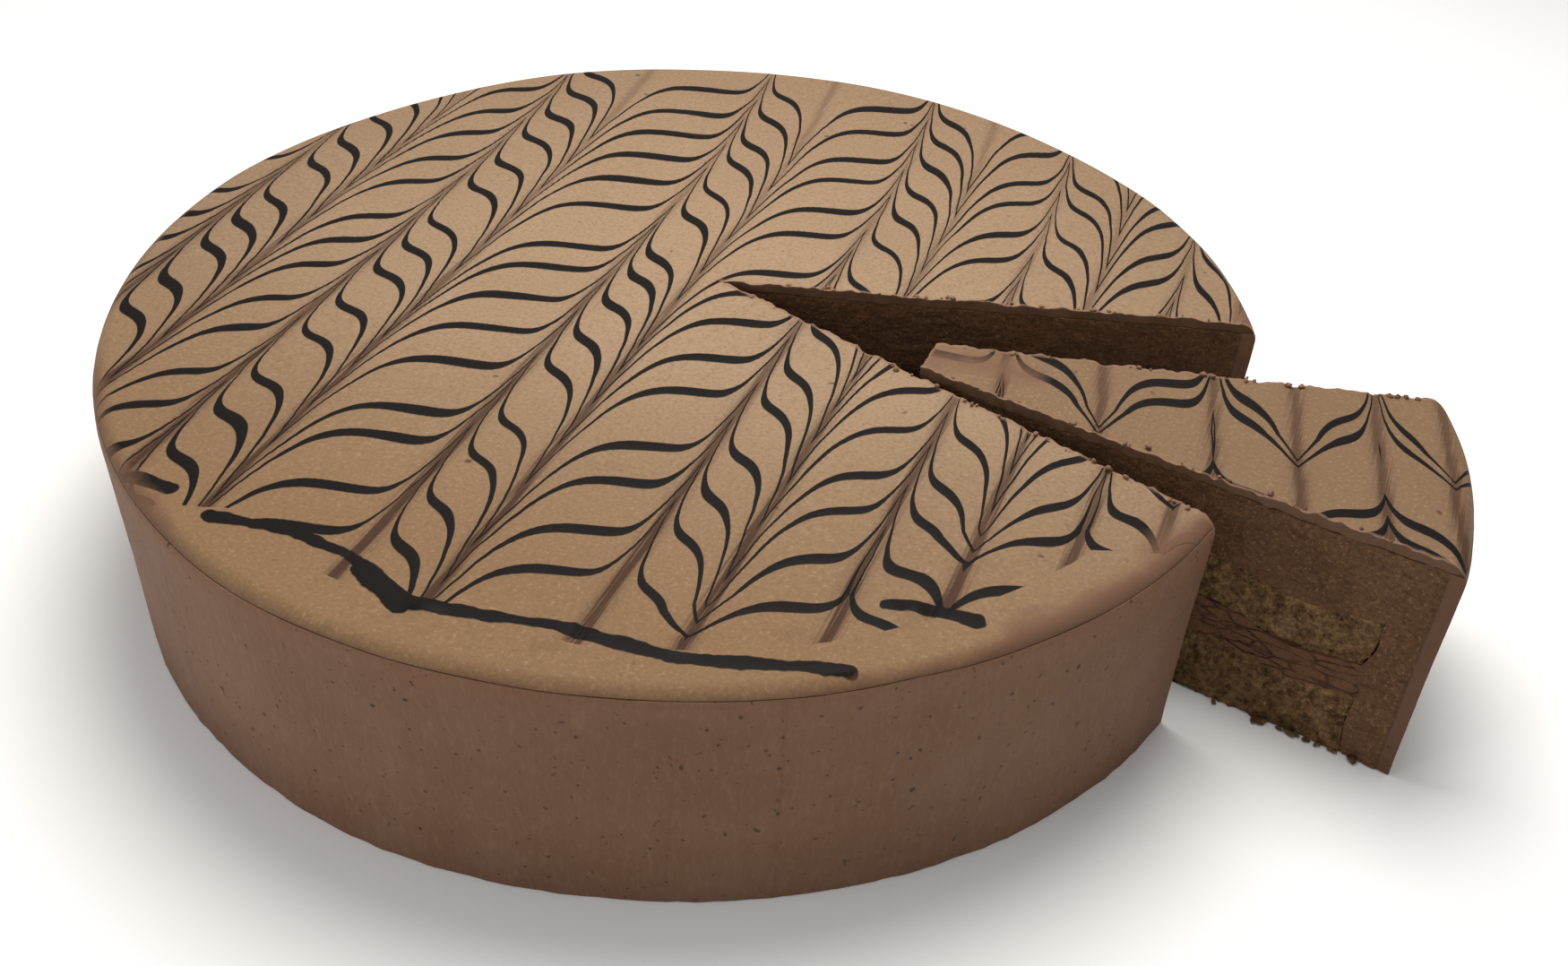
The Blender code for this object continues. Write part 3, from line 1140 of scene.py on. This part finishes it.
slice_apex = crossing(SLICE_TIP_NEAR, SLICE_NEAR, SLICE_TIP_FAR, SLICE_FAR)
slice_tip = (SLICE_TIP_NEAR, SLICE_TIP_FAR)
slice_angles = (SLICE_NEAR, SLICE_FAR)
wedge_sheet = icing_sheet("wedge_icing", slice_apex, slice_angles, slice_tip, segments=120, rings=240)
slice_near_rim = ray_to_circle(slice_apex, heading(SLICE_NEAR), RADIUS)
slice_far_rim = ray_to_circle(slice_apex, heading(SLICE_FAR), RADIUS)
slice_cuts = ((SLICE_TIP_NEAR, slice_near_rim), slice_tip, (SLICE_TIP_FAR, slice_far_rim))
press_pattern(wedge_sheet, SLICE_PATTERN, slice_cuts, SLICE_PLACE)
finish_piece(wedge_sheet, "slice_icing", slice_icing_finish)

# %% [markdown]
# ## Crumbs and torn flakes
# A knife leaves crumbs along the cut edges and at the foot of the slice, and a few torn flakes on the
# slice's far outer corner. Each is a small dented ball, a little sunk in what it lies on.

# %% Crumbs
CRUMB_SEED = 11
EDGE_CRUMB = (0.0003, 0.0008)
FLAKE = (0.0005, 0.0013)
DENT = 0.9
EDGE_SPREAD = 0.0005
FOOT_SPREAD = 0.0003
SHOULDER_SHARE = 0.96


def add_crumb(shape, place, size, rest, chance):
    """A dented ball, flattened by chance, that stays above the height it rests on."""
    flat = chance.uniform(0.4, 0.85)
    middle = Vector((place.x, place.y, rest + size * flat * 0.6))
    grown = Matrix.Rotation(chance.uniform(0.0, math.tau), 4, "Z")
    grown = grown @ Matrix.Diagonal((1.0, chance.uniform(0.5, 1.0), flat, 1.0))
    made = bmesh.ops.create_icosphere(
        shape, subdivisions=2, radius=size, matrix=Matrix.Translation(middle) @ grown)
    for vertex in made["verts"]:
        outwards = vertex.co - middle
        vertex.co = middle + outwards * (1.0 + DENT * noise.noise(vertex.co * 1100.0))
        vertex.co.z = max(vertex.co.z, rest - size * 0.3, 0.00005)


def crumbs_along(shape, start, end, side, rest, sizes, count, spread, chance):
    """Crumbs along a straight line, on its left (1) or right (-1), fewer the further from it."""
    along = (end - start).normalized()
    aside = Vector((-along.y, along.x)) * side
    for _ in range(count):
        size = sizes[0] + (sizes[1] - sizes[0]) * chance.random() ** 2
        place = start.lerp(end, chance.random()) + aside * (size * 0.4 + abs(chance.gauss(0.0, spread)))
        add_crumb(shape, place, size, rest, chance)


def crumb_piece(name, shape, finish):
    thing = as_object(name, shape)
    thing.data.materials.append(finish)
    thing.data.shade_smooth()
    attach(thing, "root")
    print(name, len(thing.data.polygons), "faces")


chance = random.Random(CRUMB_SEED)
slice_corners = (SLICE_TIP_NEAR, SLICE_TIP_NEAR.lerp(slice_near_rim, SHOULDER_SHARE),
                 SLICE_TIP_FAR, SLICE_TIP_FAR.lerp(slice_far_rim, SHOULDER_SHARE))
tip_near, end_near, tip_far, end_far = [(SLICE_PLACE @ corner.to_3d()).to_2d() for corner in slice_corners]
flakes = bmesh.new()
for start, end, side, sizes, count in (
    (NOTCH_POINT, NOTCH_POINT.lerp(near_rim, SHOULDER_SHARE), -1, EDGE_CRUMB, 30),
    (NOTCH_POINT, NOTCH_POINT.lerp(far_rim, SHOULDER_SHARE), 1, EDGE_CRUMB, 30),
    (tip_near, end_near, 1, EDGE_CRUMB, 22),
    (tip_far, end_far, -1, EDGE_CRUMB, 18),
    (tip_far.lerp(end_far, 0.92), end_far, -1, FLAKE, 6),
):
    crumbs_along(flakes, start, end, side, CAKE_HEIGHT, sizes, count, EDGE_SPREAD, chance)
crumb_piece("torn_flakes", flakes, finishes["mousse"])
fallen = bmesh.new()
crumbs_along(fallen, tip_near.lerp(end_near, 0.35), end_near, -1, 0.0, FLAKE, 26, FOOT_SPREAD, chance)
crumb_piece("fallen_crumbs", fallen, finishes["upper_sponge"])
